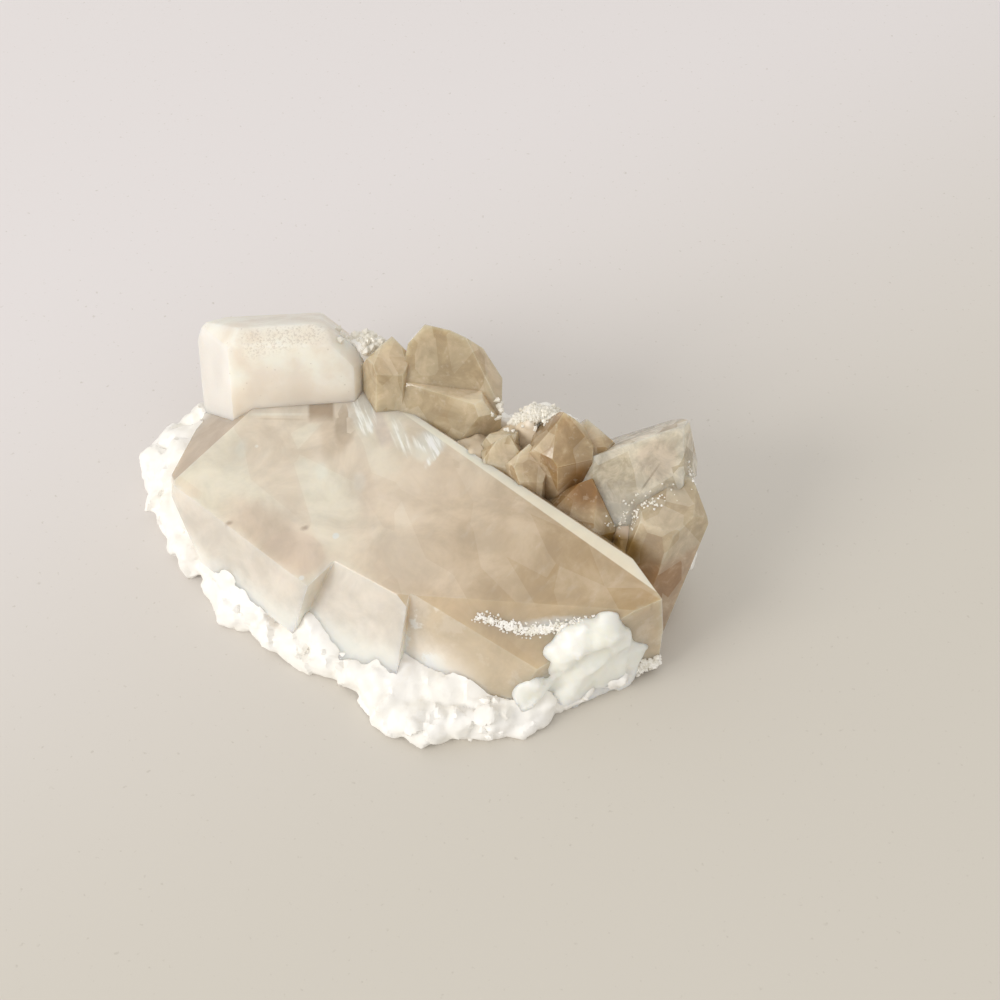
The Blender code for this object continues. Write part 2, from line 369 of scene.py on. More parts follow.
def druse(name, rows, material, supports):
    """Patches of tiny crystals, as one mesh. Each one is rooted on the nearest surface of a support."""
    solid = bmesh.new()
    graph = bpy.context.evaluated_depsgraph_get()
    trees = [BVHTree.FromObject(support, graph) for support in supports]
    for corners, spread, count, radius, seed in rows:
        chance = random.Random(seed)
        corners = [Vector(corner) for corner in corners]
        for _ in range(count):
            leg = chance.randrange(len(corners) - 1)
            place = corners[leg].lerp(corners[leg + 1], chance.random())
            shift = Vector([chance.gauss(0, spread / 2) for _ in range(3)])
            point, normal, distance = nearest(trees, (place + shift - FOOTPRINT_MIDDLE) * MM)
            size = radius * chance.uniform(*TINY_SIZES)
            tilt = Vector([chance.uniform(-TINY_TILT, TINY_TILT) for _ in range(3)])
            along = (normal + tilt).normalized()
            root = point / MM + FOOTPRINT_MIDDLE - along * size * ROOT_SINK
            if distance < ROOT_REACH * MM and root.z > LEAST_ROOT_HEIGHT * size:
                tiny_crystal(solid, root, along, size, chance)
    return make_object(name, solid, (material,))


def bake_modifiers(target):
    """Replaces the object's mesh by its evaluated one."""
    bpy.context.view_layer.update()
    graph = bpy.context.evaluated_depsgraph_get()
    mesh = bpy.data.meshes.new_from_object(target.evaluated_get(graph), depsgraph=graph)
    target.modifiers.clear()
    target.data = mesh


def boolean(target, other, operation):
    change = target.modifiers.new(operation.lower(), "BOOLEAN")
    change.operation = operation
    change.solver = "EXACT"
    change.object = other
    bake_modifiers(target)
    bpy.data.objects.remove(other)


def bevel_corners(target, width, angle):
    """Rounds the edges that turn more than an angle."""
    change = target.modifiers.new("worn edges", "BEVEL")
    change.width = width * MM
    change.segments = 2
    change.limit_method = "ANGLE"
    change.angle_limit = math.radians(angle)
    bake_modifiers(target)


def joined(name, solids, materials):
    """One mesh of several solids, which may overlap."""
    whole = bmesh.new()
    for solid in solids:
        mesh = bpy.data.meshes.new("part")
        solid.to_mesh(mesh)
        solid.free()
        whole.from_mesh(mesh)
        bpy.data.meshes.remove(mesh)
    return make_object(name, whole, materials)


def remesh(target, voxel):
    """One even skin over a mesh."""
    change = target.modifiers.new("remesh", "REMESH")
    change.mode = "VOXEL"
    change.voxel_size = voxel * MM
    bake_modifiers(target)


def smooth(target, times):
    change = target.modifiers.new("smooth", "SMOOTH")
    change.factor = 0.5
    change.iterations = times
    bake_modifiers(target)


def facet_offset(position, cell, shift):
    """Height of a tiny tilted facet at a position: each cell of space has a plane of its own."""
    place = position / cell + Vector((shift, 0, 0))
    _, centres = noise.voronoi(place)
    centre = centres[0]
    tilt = noise.cell_vector(centre * CELL_STEP) * 2 - Vector((1, 1, 1))
    return (place - centre).dot(tilt) * cell


def crag(target, layers):
    """Moves each point along its normal by facets of several sizes: (cell, height), in millimetres."""
    mesh = target.data
    normals = [vertex.normal.copy() for vertex in mesh.vertices]
    for vertex, normal in zip(mesh.vertices, normals):
        position = vertex.co / MM
        rise = 0.0
        for index, (cell, height) in enumerate(layers):
            rise += facet_offset(position, cell, LAYER_SHIFT * index) * height
        vertex.co += normal * rise * MM
        vertex.co.z = max(vertex.co.z, 0.0)


class Graph:
    """A material's node tree, with short calls for the nodes that the stone needs."""

    def __init__(self, name):
        self.material = bpy.data.materials.new(name)
        self.material.use_nodes = True
        self.nodes = self.material.node_tree.nodes
        self.links = self.material.node_tree.links
        self.shader = self.nodes["Principled BSDF"]
        self.output = self.nodes["Material Output"]
        place = self.nodes.new("ShaderNodeTexCoord").outputs["Object"]
        scaled = self.vector("SCALE", place, scale=1 / MM)
        self.place = self.vector("ADD", scaled, FOOTPRINT_MIDDLE)
        self.normal = self.nodes.new("ShaderNodeNewGeometry").outputs["True Normal"]

    def put(self, socket, value):
        if isinstance(value, bpy.types.NodeSocket):
            self.links.new(value, socket)
        else:
            socket.default_value = value

    def vector(self, operation, first, second=None, scale=None):
        node = self.nodes.new("ShaderNodeVectorMath")
        node.operation = operation
        self.put(node.inputs[0], first)
        if second is not None:
            self.put(node.inputs[1], second)
        if scale is not None:
            self.put(node.inputs["Scale"], scale)
        return node.outputs["Value" if operation in ("LENGTH", "DOT_PRODUCT") else "Vector"]

    def math(self, operation, first, second=0.5):
        node = self.nodes.new("ShaderNodeMath")
        node.operation = operation
        self.put(node.inputs[0], first)
        self.put(node.inputs[1], second)
        return node.outputs["Value"]

    def local(self, middle, turn):
        """The place as seen from a middle, in axes turned about Z."""
        moved = self.vector("SUBTRACT", self.place, middle)
        node = self.nodes.new("ShaderNodeVectorRotate")
        node.rotation_type = "Z_AXIS"
        self.put(node.inputs["Vector"], moved)
        node.inputs["Angle"].default_value = math.radians(-turn)
        return node.outputs["Vector"]

    def stretched(self, sizes, turn):
        """The place, turned and then divided by a size along each axis."""
        return self.vector("DIVIDE", self.local((0, 0, 0), turn), sizes)

    def noise(self, place, size, detail=4.0, roughness=0.55, distortion=0.0):
        node = self.nodes.new("ShaderNodeTexNoise")
        self.put(node.inputs["Vector"], place)
        node.inputs["Scale"].default_value = 1.0 / size
        node.inputs["Detail"].default_value = detail
        node.inputs["Roughness"].default_value = roughness
        node.inputs["Distortion"].default_value = distortion
        return node.outputs["Fac"]

    def cells(self, place, size):
        """The outputs of a pattern of angular cells."""
        node = self.nodes.new("ShaderNodeTexVoronoi")
        self.put(node.inputs["Vector"], place)
        node.inputs["Scale"].default_value = 1.0 / size
        return node.outputs

    def between(self, value, low, high, out_low=0.0, out_high=1.0):
        """Smooth step of a value from low to high."""
        node = self.nodes.new("ShaderNodeMapRange")
        node.interpolation_type = "SMOOTHSTEP"
        self.put(node.inputs["Value"], value)
        sockets = ("From Min", "From Max", "To Min", "To Max")
        for socket, number in zip(sockets, (low, high, out_low, out_high)):
            node.inputs[socket].default_value = number
        return node.outputs["Result"]

    def mix(self, factor, first, second):
        node = self.nodes.new("ShaderNodeMix")
        node.data_type = "RGBA"
        self.put(node.inputs[0], factor)
        for socket, colour in ((node.inputs[6], first), (node.inputs[7], second)):
            self.put(socket, colour if isinstance(colour, bpy.types.NodeSocket) else (*colour, 1.0))
        return node.outputs[2]

    def paint(self, colour, mask, tone, strength):
        """Lays a tone over a colour where the mask is 1."""
        return self.mix(self.math("MULTIPLY", mask, strength), colour, tone)

    def ragged(self, distance, wobble, size):
        """A distance moved to and fro by noise, so that an edge drawn by it is uneven."""
        shift = self.math("MULTIPLY", self.noise(self.place, size), wobble)
        return self.math("ADD", distance, shift)

    def spot(self, middle, radii, turn, edge, wobble=0.0, size=3.0):
        """1 inside an ellipsoid in the stone and 0 outside it. A wobble makes its edge uneven."""
        distance = self.vector("LENGTH", self.vector("DIVIDE", self.local(middle, turn), radii))
        if wobble:
            distance = self.ragged(distance, wobble, size)
        return self.between(distance, 1 - edge + wobble / 2, 1 + wobble / 2, 1.0, 0.0)

    def streak(self, middle, half_length, half_width, turn, edge):
        """1 inside a straight streak that runs along a heading, at any height, and 0 outside it."""
        parts = self.nodes.new("ShaderNodeSeparateXYZ")
        self.put(parts.inputs["Vector"], self.local(middle, turn))
        along = self.math("ABSOLUTE", parts.outputs["X"])
        across = self.math("ABSOLUTE", parts.outputs["Y"])
        inside = self.between(along, half_length * (1 - edge), half_length, 1.0, 0.0)
        beside = self.between(across, half_width * (1 - edge), half_width, 1.0, 0.0)
        return self.math("MULTIPLY", inside, beside)

    def slope(self, axis, low, high):
        """0 to 1 as the place moves from low to high along an axis."""
        return self.between(self.vector("DOT_PRODUCT", self.place, axis), low, high)

    def height(self):
        """Height above the table."""
        return self.vector("DOT_PRODUCT", self.place, (0, 0, 1))

    def facet_light_and_shade(self):
        """A number that changes from one flat face to the next, for painted light and shade by face."""
        return self.noise(self.vector("SCALE", self.normal, scale=FACET_LIGHT_AND_SHADE_SCALE), 1.0, 0.0)

    def patches(self, place, size):
        """A number that changes from one angular patch to the next."""
        return self.vector("DOT_PRODUCT", self.cells(place, size)["Color"], (1, 0, 0))

    def facing(self, heading, rise, off=0.04, on=0.01):
        """1 on faces that look this way."""
        alignment = self.vector("DOT_PRODUCT", self.normal, direction(heading, rise))
        return self.between(alignment, 1 - off, 1 - on)

    def bump(self, height, strength, distance):
        node = self.nodes.new("ShaderNodeBump")
        node.inputs["Strength"].default_value = strength
        node.inputs["Distance"].default_value = distance * MM
        self.put(node.inputs["Height"], height)
        return node.outputs["Normal"]

    def finish(
        self, colour, roughness, transmission=None, normal=None, scatter=0.0, radius=1.0, absorb=None
    ):
        """Sets the shader. Scatter is the subsurface share, and absorb is a colour and a density."""
        shader = self.shader
        self.put(shader.inputs["Base Color"], colour)
        self.put(shader.inputs["Roughness"], roughness)
        shader.inputs["IOR"].default_value = QUARTZ_IOR
        if transmission is not None:
            self.put(shader.inputs["Transmission Weight"], transmission)
        if normal is not None:
            self.put(shader.inputs["Normal"], normal)
        shader.inputs["Subsurface Weight"].default_value = scatter
        shader.inputs["Subsurface Radius"].default_value = SCATTER_BY_COLOUR
        shader.inputs["Subsurface Scale"].default_value = radius * MM
        if absorb is not None:
            volume = self.nodes.new("ShaderNodeVolumeAbsorption")
            volume.inputs["Color"].default_value = (*absorb[0], 1.0)
            volume.inputs["Density"].default_value = absorb[1]
            self.links.new(volume.outputs["Volume"], self.output.inputs["Volume"])
        return self.material


def main_body(graph, clouds, fine):
    """Pinkish beige at the tip and tan at the far end, with clouds, flat patches of painted reflection
    within, and darker places, one of them painted shade.
    """
    colour = graph.mix(graph.slope((0.94, -0.34, 0), -14, 32), (0.96, 0.862, 0.735), (0.585, 0.43, 0.24))
    colour = graph.paint(colour, graph.between(clouds, 0.45, 0.75), (0.96, 0.88, 0.76), 0.2)
    colour = graph.paint(colour, graph.between(clouds, 0.48, 0.25), (0.70, 0.58, 0.43), 0.2)
    # Pale and darker angular patches: painted reflections of faces within the crystal.
    planes = graph.patches(graph.stretched((1.9, 0.8, 1.4), -52), 6.0)
    colour = graph.paint(colour, graph.between(planes, 0.55, 0.6), (0.96, 0.88, 0.76), 0.16)
    colour = graph.paint(colour, graph.between(planes, 0.3, 0.25), (0.66, 0.54, 0.40), 0.16)
    colour = graph.paint(colour, graph.between(fine, 0.5, 0.8), (0.96, 0.90, 0.80), 0.22)
    for mask, tone, strength in (
        # Painted shade along the lower-left edge of the broad face.
        (graph.spot((-20.5, -12.5, 14.5), (12, 5, 8), -38, 0.7, 0.5), (0.70, 0.59, 0.47), 0.6),
        (graph.spot((-17.8, -15, 14.5), (4.8, 3.6, 6), -20, 0.12, 0.2), (0.84, 0.72, 0.60), 0.6),
        (graph.streak((-8, -6, 16), 7, 1.6, -80, 0.8), (0.76, 0.66, 0.54), 0.5),
        (graph.streak((5.5, -25.5, 14.5), 10, 2.0, -34, 0.7), (0.70, 0.56, 0.40), 0.6),
    ):
        colour = graph.paint(colour, mask, tone, strength)
    return colour


def inner_faces(graph, colour):
    """The dark window behind the frosted crystal, the broken strip beside it and two thin lines, some of it
    painted light and shade.
    """
    pane = graph.streak((-15.6, 9.2, 17.8), 2.2, 2.6, 4, 0.3)
    window = graph.math("MULTIPLY", pane, graph.slope((0.1, 1, 0), 4.6, 7.4))
    strip = graph.spot((-12.0, 6.0, 17.5), (1.9, 5.0, 4), 4, 0.5, 0.4, 1.6)
    blocks = graph.patches(graph.stretched((1.0, 1.5, 1.0), 10), 1.5)
    # Painted light and shade: the strip's small facets alternate between lit and shaded tones.
    painted_shade_blocks = graph.math("MULTIPLY", strip, graph.between(blocks, 0.5, 0.56))
    painted_light_blocks = graph.math("MULTIPLY", strip, graph.between(blocks, 0.3, 0.24))
    for mask, tone, strength in (
        (window, (0.50, 0.39, 0.28), 0.9),
        (graph.streak((-13.6, 4.2, 17), 4.6, 2.2, -78, 0.6), (0.74, 0.62, 0.47), 0.5),
        (painted_shade_blocks, (0.60, 0.50, 0.38), 0.7),
        (painted_light_blocks, (1.0, 0.95, 0.87), 0.6),
        # Two thin lines along the edge under the frosted crystal: a painted highlight and a painted shadow.
        (graph.streak((-22, 8.9, 17), 5.4, 0.3, -3, 0.5), (1.0, 0.94, 0.84), 0.6),
        (graph.streak((-21.5, 8.0, 17), 4.6, 0.22, -5, 0.5), (0.76, 0.64, 0.50), 0.5),
    ):
        colour = graph.paint(colour, mask, tone, strength)
    return colour


def cracks_with_painted_reflections(graph, colour):
    """The white streaks under the back ridge: cracks with their reflections painted on. Returns the colour
    and the streaks' mask.
    """
    tip = graph.spot((0.6, 2.0, 18), (2.6, 3.4, 3), -25, 0.3, 0.4, 1.5)
    colour = graph.paint(colour, tip, (0.98, 0.93, 0.84), 0.6)
    colour = graph.paint(colour, graph.streak((-6.4, 5.4, 18), 4.2, 1.3, -70, 0.5), (0.80, 0.72, 0.64), 0.7)
    grain = graph.noise(graph.stretched((5.0, 0.6, 3.0), -68), 1.0, 3.0)
    # Painted reflections: the white of the cracks' streaks.
    white = graph.spot((-9.2, 8.0, 18), (4.4, 1.9, 4), -72, 0.3)
    for middle, half_length, half_width, turn in (
        ((-3.6, 3.9, 18), 5.2, 1.5, -66), ((0.6, 2.6, 18), 3.4, 2.2, -30), ((1.4, 0.2, 18), 3.0, 0.8, 60),
    ):
        patch = graph.spot(middle, (half_length, half_width, 4), turn, 0.6)
        white = graph.math("MAXIMUM", white, patch)
    colour = graph.paint(colour, white, (0.98, 0.92, 0.83), 0.45)
    white = graph.math("MULTIPLY", white, graph.between(grain, 0.42, 0.66))
    colour = graph.paint(colour, white, (1.0, 0.97, 0.92), 0.9)
    for middle in ((-14.8, -1.6, 16.4), (-9.2, -3.6, 16.4), (-27, 3, 16.5)):
        veil = graph.spot(middle, (1.3, 2.4, 2), 8, 0.7, 0.5, 1.0)
        colour = graph.paint(colour, veil, (1.0, 0.95, 0.87), 0.45)
    return colour, white


def outer_faces(graph, colour):
    """Tones of single faces, some of them painted light and shade. Returns the colour, the back ridge's band
    and the milky lower part.
    """
    ridge = graph.math("MULTIPLY", graph.facing(*BROAD_FACE), graph.slope((0.663, 0.748, 0), 3.75, 3.95))
    colour = graph.paint(colour, ridge, (0.98, 0.89, 0.74), 0.85)
    # Painted shade on the tip face.
    colour = graph.paint(colour, graph.facing(*TIP_FACE), (0.62, 0.50, 0.37), 0.85)
    # Painted light on the side face, which looks toward the window light.
    side = graph.facing(*SIDE_FACE)
    colour = graph.paint(colour, side, (0.90, 0.84, 0.76), 0.9)
    # Painted shade on the front band.
    colour = graph.paint(colour, graph.facing(*FRONT_BAND), (0.70, 0.56, 0.38), 0.7)
    front = graph.between(graph.vector("DOT_PRODUCT", graph.normal, (0, -0.9, 0.1)), 0.59, 0.63)
    front_tone = graph.mix(graph.slope((1, -0.2, 0), 0, 7), (0.97, 0.92, 0.85), (0.74, 0.63, 0.47))
    front = graph.math("MULTIPLY", front, graph.between(side, 0.0, 1.0, 1.0, 0.0))
    colour = graph.paint(colour, front, front_tone, 0.9)
    for heading in NOTCH_SIDES:
        colour = graph.paint(colour, graph.facing(heading, 0), (0.93, 0.86, 0.76), 0.75)
    milky = graph.noise(graph.place, 3.0, 4.0, 0.65)
    low = graph.between(graph.ragged(graph.height(), 5.0, 4.0), 8.0, 13.5, 1.0, 0.0)
    low = graph.math("MULTIPLY", low, graph.slope((1, 0.3, 0), 1, -7))
    colour = graph.paint(colour, low, (0.99, 0.925, 0.85), 0.9)
    # Painted shade in the low places of the milky front.
    painted_shade_in_hollows = graph.math("MULTIPLY", front, graph.between(milky, 0.48, 0.36))
    colour = graph.paint(colour, painted_shade_in_hollows, (0.86, 0.78, 0.67), 0.45)
    lumps = graph.math("MULTIPLY", front, graph.between(milky, 0.52, 0.62))
    lumps = graph.math("MULTIPLY", lumps, graph.slope((1, 0, 0), 5, -1))
    colour = graph.paint(colour, lumps, (1.0, 0.98, 0.94), 0.85)
    return colour, ridge, low


def specks_and_sugar(graph, colour):
    """Small dark and pale inclusions, and the sugary white line beside the pale lump."""
    for middle, size in DARK_SPECKS:
        speck = graph.spot(middle, (1.5 * size, size, 2), 20, 0.9, 0.5, 0.5)
        colour = graph.paint(colour, speck, (0.34, 0.25, 0.18), 0.6)
    for middle, size in PALE_SPECKS:
        colour = graph.paint(colour, graph.spot(middle, (size, size, 2), 0, 0.4), (1.0, 0.97, 0.9), 0.9)
    sugar = graph.spot((17, -27, 14.6), (9, 1.3, 2.5), 2, 0.7, 0.5, 0.8)
    return graph.paint(colour, sugar, (1.0, 0.98, 0.94), 0.85)


def main_material():
    """The long crystal: hazy, pinkish beige at its tip and tan at its far end, cream along its front."""
    graph = Graph("main_quartz")
    clouds = graph.noise(graph.place, 8.0, 5.0, 0.6, 0.4)
    fine = graph.noise(graph.stretched((1.0, 3.0, 1.0), -38), 1.3, 4.0, 0.6)
    colour = inner_faces(graph, main_body(graph, clouds, fine))
    colour, white = cracks_with_painted_reflections(graph, colour)
    colour, ridge, low = outer_faces(graph, colour)
    colour = specks_and_sugar(graph, colour)
    haze = graph.between(clouds, 0.3, 0.7, 0.36, 0.15)
    for mask, left in ((ridge, 0.5), (low, 0.3), (white, 0.2)):
        haze = graph.math("MULTIPLY", haze, graph.between(mask, 0.0, 1.0, 1.0, left))
    roughness = graph.between(fine, 0.3, 0.7, 0.10, 0.22)
    swell = graph.noise(graph.place, 5.0, 2.0)
    normal = graph.bump(swell, 0.10, 0.3)
    return graph.finish(colour, roughness, haze, normal, 1.0, 3.0, ((0.88, 0.78, 0.62), 8.0))


def second_material():
    """The frosted crystal: pinkish white, with a grey speckled band along its top, painted shade at its foot
    and painted light on its lit side.
    """
    graph = Graph("frosted_quartz")
    clouds = graph.noise(graph.place, 5.0, 5.0, 0.6)
    colour = graph.mix(graph.between(clouds, 0.35, 0.65), (0.90, 0.82, 0.72), (0.97, 0.91, 0.82))
    grain = graph.noise(graph.place, 0.35, 3.0, 0.7)
    band = graph.streak((-20.5, 15.5, 28.8), 8.0, 1.9, 6, 0.5)
    rough_band = graph.math("MULTIPLY", band, graph.between(grain, 0.48, 0.62))
    colour = graph.paint(colour, rough_band, (0.60, 0.53, 0.46), 0.55)
    specks = graph.between(graph.cells(graph.place, 1.6)["Distance"], 0.10, 0.05)
    colour = graph.paint(colour, specks, (0.60, 0.52, 0.44), 0.5)
    # Painted shade at the foot, where the crystal meets the others.
    foot = graph.between(graph.height(), 21.5, 18.5)
    colour = graph.paint(colour, foot, (0.76, 0.67, 0.55), 0.6)
    # Painted light: the face that looks toward the window light is washed out to a neutral tone.
    colour = graph.paint(colour, graph.facing(-150, 13, 0.2, 0.1), (0.89, 0.865, 0.82), 0.8)
    roughness = graph.between(grain, 0.3, 0.7, 0.35, 0.6)
    normal = graph.bump(clouds, 0.2, 0.5)
    transmission = graph.between(clouds, 0.3, 0.7, 0.15, 0.05)
    return graph.finish(colour, roughness, transmission, normal, 1.0, 3.0, ((0.9, 0.82, 0.7), 20.0))


def paint_hollow_shade(graph, colour):
    """Paints shade into the hollow, a deep brown, on every crystal that borders it."""
    return graph.paint(colour, graph.spot(*SHADED_HOLLOW), (0.34, 0.21, 0.06), 0.95)


def row_colour(graph):
    """Brown, paler where a face looks up, as painted light, and deeper to the right. Returns the colour and
    its clouds.
    """
    # Painted light and shade: faces that look up get a paler brown than faces that look to the front.
    upward = graph.between(graph.vector("DOT_PRODUCT", graph.normal, (0.35, -0.1, 0.93)), 0.35, 0.85)
    front = graph.mix(graph.slope((1, -0.3, 0), 2, 27), (0.59, 0.48, 0.31), (0.32, 0.16, 0.035))
    top = graph.mix(graph.slope((1, -0.3, 0), 12, 26), (0.79, 0.675, 0.49), (0.47, 0.30, 0.12))
    colour = graph.mix(upward, front, top)
    # Painted light and shade that differ from one flat face to the next.
    facet = graph.facet_light_and_shade()
    colour = graph.paint(colour, graph.between(facet, 0.52, 0.62), (0.90, 0.79, 0.60), 0.35)
    colour = graph.paint(colour, graph.between(facet, 0.46, 0.38), (0.46, 0.31, 0.16), 0.25)
    # Pale and darker angular patches: painted reflections of faces within.
    inner_reflections = graph.patches(graph.stretched((1.0, 1.0, 1.8), 20), 3.2)
    colour = graph.paint(colour, graph.between(inner_reflections, 0.55, 0.62), (0.90, 0.79, 0.60), 0.3)
    colour = graph.paint(colour, graph.between(inner_reflections, 0.32, 0.26), (0.50, 0.35, 0.18), 0.3)
    clouds = graph.noise(graph.place, 3.5, 5.0, 0.65, 0.6)
    colour = graph.paint(colour, graph.between(clouds, 0.5, 0.75), (0.84, 0.74, 0.56), 0.35)
    colour = graph.paint(colour, graph.between(clouds, 0.45, 0.25), (0.52, 0.38, 0.21), 0.45)
    for middle, radii, tone, strength in (
        ((3, 8, 28), (7, 7, 8), (0.54, 0.44, 0.28), 0.5),
        ((24, -5.2, 14), (5.5, 5, 9), (0.33, 0.17, 0.05), 0.9),
        ((24, 2.5, 22), (3.4, 3.4, 6), (0.86, 0.77, 0.60), 0.7),
    ):
        colour = graph.paint(colour, graph.spot(middle, radii, 0, 0.4), tone, strength)
    return paint_hollow_shade(graph, colour), clouds


def row_material():
    """The brown crystals of the row."""
    graph = Graph("brown_quartz")
    colour, clouds = row_colour(graph)
    fine = graph.noise(graph.place, 0.9, 3.0)
    colour = graph.paint(colour, graph.between(fine, 0.58, 0.7), (0.86, 0.76, 0.60), 0.3)
    transmission = graph.between(clouds, 0.3, 0.7, 0.38, 0.16)
    roughness = graph.between(fine, 0.3, 0.7, 0.06, 0.16)
    normal = graph.bump(graph.noise(graph.place, 3.0, 3.0), 0.12, 0.3)
    return graph.finish(colour, roughness, transmission, normal, 1.0, 3.0, ((0.84, 0.70, 0.46), 25.0))


def clear_material():
    """The clear crystal: greyish, with painted bright and dark reflections of faces within it, a veil and a
    milky foot.
    """
    graph = Graph("clear_quartz")
    clouds = graph.noise(graph.place, 3.0, 5.0, 0.65, 0.6)
    colour = graph.mix(graph.between(clouds, 0.35, 0.65), (0.66, 0.585, 0.44), (0.77, 0.69, 0.54))
    # Painted reflections: bright and dark patches of faces within the crystal.
    inner_reflections = graph.patches(graph.stretched((1.0, 1.0, 1.6), 35), 3.6)
    colour = graph.paint(colour, graph.between(inner_reflections, 0.55, 0.6), (0.97, 0.91, 0.79), 0.5)
    colour = graph.paint(colour, graph.between(inner_reflections, 0.36, 0.3), (0.58, 0.49, 0.35), 0.5)
    colour = graph.paint(colour, graph.streak((32.2, -5.3, 24), 2.4, 0.16, 45, 0.5), (0.42, 0.36, 0.28), 0.7)
    veil = graph.spot((33, -4, 22), (3.5, 3.5, 4), 0, 0.3, 0.4)
    colour = graph.paint(colour, veil, (0.66, 0.56, 0.45), 0.5)
    foot = graph.between(graph.ragged(graph.height(), 3.0, 1.5), 18.6, 20.4, 1.0, 0.0)
    colour = graph.paint(colour, foot, (0.94, 0.88, 0.76), 0.6)
    colour = paint_hollow_shade(graph, colour)
    transmission = graph.between(clouds, 0.35, 0.7, 0.5, 0.2)
    roughness = graph.between(clouds, 0.3, 0.7, 0.04, 0.12)
    normal = graph.bump(graph.noise(graph.place, 2.5, 3.0), 0.15, 0.3)
    return graph.finish(colour, roughness, transmission, normal, 1.0, 3.0, ((0.88, 0.84, 0.74), 20.0))


def end_material():
    """The crystal at the right end: greyish above and pinkish brown below, with painted light, shade and
    reflections.
    """
    graph = Graph("end_quartz")
    clouds = graph.noise(graph.place, 3.0, 5.0, 0.65, 0.5)
    height = graph.ragged(graph.vector("DOT_PRODUCT", graph.place, (0, 0.35, 1)), 3.0, 2.0)
    colour = graph.mix(graph.between(height, 7.5, 10.5), (0.53, 0.34, 0.19), (0.66, 0.55, 0.385))
    # Painted light and shade that differ from one flat face to the next.
    facet = graph.facet_light_and_shade()
    colour = graph.paint(colour, graph.between(facet, 0.52, 0.62), (0.84, 0.75, 0.58), 0.4)
    # Painted reflections: pale and darker patches of faces within the crystal.
    inner_reflections = graph.patches(graph.stretched((1.0, 1.0, 1.8), 50), 3.0)
    colour = graph.paint(colour, graph.between(inner_reflections, 0.55, 0.62), (0.88, 0.80, 0.66), 0.35)
    colour = graph.paint(colour, graph.between(inner_reflections, 0.32, 0.26), (0.48, 0.33, 0.20), 0.35)
    colour = graph.paint(colour, graph.between(clouds, 0.5, 0.72), (0.86, 0.77, 0.60), 0.4)
    colour = paint_hollow_shade(graph, colour)
    transmission = graph.between(clouds, 0.3, 0.7, 0.40, 0.2)
    roughness = graph.between(clouds, 0.3, 0.7, 0.10, 0.25)
    normal = graph.bump(graph.noise(graph.place, 2.0, 3.0), 0.2, 0.4)
    return graph.finish(colour, roughness, transmission, normal, 1.0, 3.0, ((0.82, 0.66, 0.52), 30.0))


def milky_material():
    """White quartz, with painted brown shade where it fills the gaps of the row, under the end crystal and
    in the hollow.
    """
    graph = Graph("milky_quartz")
    clouds = graph.noise(graph.place, 5.0, 5.0, 0.6)
    colour = graph.mix(graph.between(clouds, 0.35, 0.65), (1.0, 0.985, 0.955), (0.965, 0.945, 0.89))
    stain = graph.noise(graph.place, 2.2, 4.0)
    colour = graph.paint(colour, graph.between(stain, 0.58, 0.72), (0.88, 0.82, 0.71), 0.25)
    painted_shade_behind_row = graph.spot((12, 2, 12), (21, 8.5, 12), -28, 0.3, 0.3)
    colour = graph.paint(colour, painted_shade_behind_row, (0.66, 0.53, 0.36), 0.85)
    painted_shade_under_end = graph.spot((31, -13, 8), (8, 10, 12), 0, 0.3, 0.3)
    colour = graph.paint(colour, painted_shade_under_end, (0.56, 0.42, 0.28), 0.8)
    colour = paint_hollow_shade(graph, colour)
    grain = graph.noise(graph.place, 0.5, 3.0)
    roughness = graph.between(grain, 0.3, 0.7, 0.3, 0.6)
    normal = graph.bump(grain, 0.25, 0.1)
    return graph.finish(colour, roughness, None, normal)


def pale_lump_material():
    """The smooth greenish cream lump at the lower right."""
    graph = Graph("pale_lump_quartz")
    clouds = graph.noise(graph.place, 3.5, 5.0, 0.6)
    colour = graph.mix(graph.between(clouds, 0.35, 0.65), (0.965, 0.94, 0.86), (0.94, 0.915, 0.825))
    rim = graph.between(graph.ragged(graph.height(), 3.0, 1.5), 3.5, 6.0, 1.0, 0.0)
    colour = graph.paint(colour, rim, (0.98, 0.96, 0.90), 0.8)
    return graph.finish(colour, 0.35, None, graph.bump(clouds, 0.15, 0.4), 1.0, 2.0)


def druse_material():
    """Tiny sparkling crystals, greyer in the shade behind."""
    graph = Graph("druse_quartz")
    clouds = graph.noise(graph.place, 1.2, 3.0)
    colour = graph.mix(graph.between(clouds, 0.4, 0.6), (1.0, 0.98, 0.94), (0.90, 0.87, 0.79))
    # Painted shade: greyer towards the back.
    colour = graph.paint(colour, graph.slope((0, 1, 0), -5, 5), (0.80, 0.76, 0.66), 0.55)
    return graph.finish(colour, 0.12)


def table_material():
    """The pale table, with fine flecks and a painted falloff of the window light, darker towards the front
    right.
    """
    graph = Graph("pale_table")
    # Painted falloff of the window light across the table.
    colour = graph.mix(graph.slope((0.6, -1.0, 0), -110, 70), (0.81, 0.775, 0.78), (0.67, 0.635, 0.57))
    flecks = graph.noise(graph.place, 0.9, 2.0)
    colour = graph.paint(colour, graph.between(flecks, 0.66, 0.78), (0.52, 0.48, 0.42), 0.5)
    graph.finish(colour, 0.45)
    graph.shader.inputs["IOR"].default_value = TABLE_IOR
    return graph.material


def keep(piece, angle=SHARP_ANGLE):
    """Shades a finished piece and joins it to the model."""
    piece.data.shade_smooth()
    piece.data.set_sharp_from_angle(angle=math.radians(angle))
    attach(piece, "root")
    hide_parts(NODE)


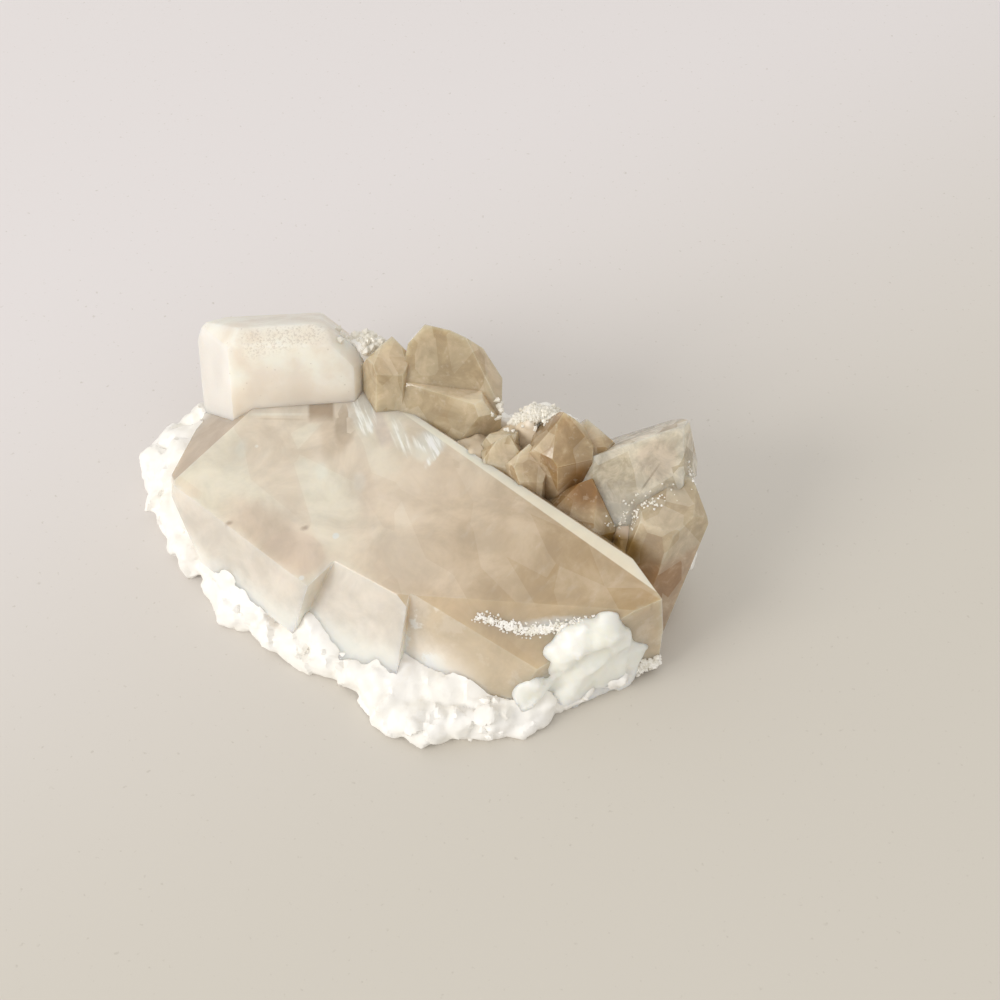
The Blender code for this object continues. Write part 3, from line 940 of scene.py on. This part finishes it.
def make_crystals():
    """The five crystal pieces."""
    solid = crystal_solid(*CRYSTALS["main_crystal"])
    main_crystal = make_object("main_crystal", solid, (main_material(),))
    for name, planes in NOTCHES:
        wedge = blank()
        for heading, rise, offset in planes:
            cut_flat(wedge, direction(heading, rise), offset)
        boolean(main_crystal, make_object(name, wedge), "DIFFERENCE")
    bevel_corners(main_crystal, MAIN_EDGE, MAIN_WORN_ANGLE)
    keep(main_crystal, MAIN_SHARP_ANGLE)
    second = crystal("second_crystal", second_material(), FROSTED_EDGE)
    keep(second)
    brown = row_material()
    row = crystal(ROW[0], brown)
    for name in ROW[1:]:
        boolean(row, crystal(name, brown), "UNION")
    row.name = "row_crystals"
    keep(row)
    clear = crystal("clear_crystal", clear_material())
    keep(clear)
    end = crystal("end_crystal", end_material())
    keep(end)
    return [main_crystal, second, row, clear, end]


def milky_piece(name, solids, material, skin):
    """One skin over solids that overlap, smoothed, given crags and smoothed again."""
    voxel, first_smoothing, layers, last_smoothing, angle = skin
    piece = joined(name, solids, (material,))
    remesh(piece, voxel)
    smooth(piece, first_smoothing)
    crag(piece, layers)
    smooth(piece, last_smoothing)
    keep(piece, angle)
    return piece


def make_matrix(crystals):
    """The milky base, the pale lump at its lower right, and the tiny crystals on all of it."""
    solids = [lump_solid(*row) for row in LUMPS]
    for row in STRINGS:
        solids += string_solids(*row)
    milky = milky_material()
    base = milky_piece("milky_base", solids, milky, BASE_SKIN)
    solids = [lump_solid(*row) for row in PALE_LUMPS] + string_solids(*PALE_RIM)
    lump = milky_piece("pale_lump", solids, pale_lump_material(), LUMP_SKIN)
    bpy.context.view_layer.update()
    keep(druse("tiny_crystals", DRUSE, druse_material(), crystals + [base, lump]), TINY_SHARP_ANGLE)
    keep(druse("rim_crystals", RIM_CRYSTALS, milky, [base]), TINY_SHARP_ANGLE)


def make_camera():
    camera = bpy.data.objects.new("camera", bpy.data.cameras.new("camera"))
    camera.data.lens = CAMERA_LENS
    camera.data.clip_start = 0.01
    camera.location = CAMERA_PLACE
    camera.rotation_euler = (math.radians(CAMERA_TILT), 0, 0)
    bpy.context.scene.collection.objects.link(camera)
    bpy.context.scene.camera = camera


def make_light(name, heading, rise, distance, size, energy, colour):
    """A round light that looks at the origin from a heading and a rise."""
    light = bpy.data.objects.new(name, bpy.data.lights.new(name, "AREA"))
    light.data.shape = "DISK"
    light.data.size = size
    light.data.energy = energy
    light.data.color = colour
    light.location = direction(heading, rise) * distance
    light.rotation_euler = (-light.location).to_track_quat("-Z", "Y").to_euler()
    bpy.context.scene.collection.objects.link(light)


def make_studio():
    """The table, the window's soft light and an even sky."""
    floor = bmesh.new()
    bmesh.ops.create_grid(floor, x_segments=1, y_segments=1, size=TABLE_HALF)
    mesh = bpy.data.meshes.new("table")
    floor.to_mesh(mesh)
    floor.free()
    table = bpy.data.objects.new("table", mesh)
    mesh.materials.append(table_material())
    bpy.context.scene.collection.objects.link(table)
    make_light(
        "window", heading=211, rise=27, distance=1.5, size=0.7, energy=9.5, colour=(1.0, 0.96, 0.91)
    )
    world = bpy.data.worlds.new("studio")
    world.use_nodes = True
    sky = world.node_tree.nodes["Background"]
    sky.inputs["Color"].default_value = SKY_COLOUR
    sky.inputs["Strength"].default_value = SKY_STRENGTH
    bpy.context.scene.world = world
    bpy.context.scene.view_settings.view_transform = "Standard"


make_matrix(make_crystals())
make_studio()
make_camera()

bpy.context.view_layer.update()
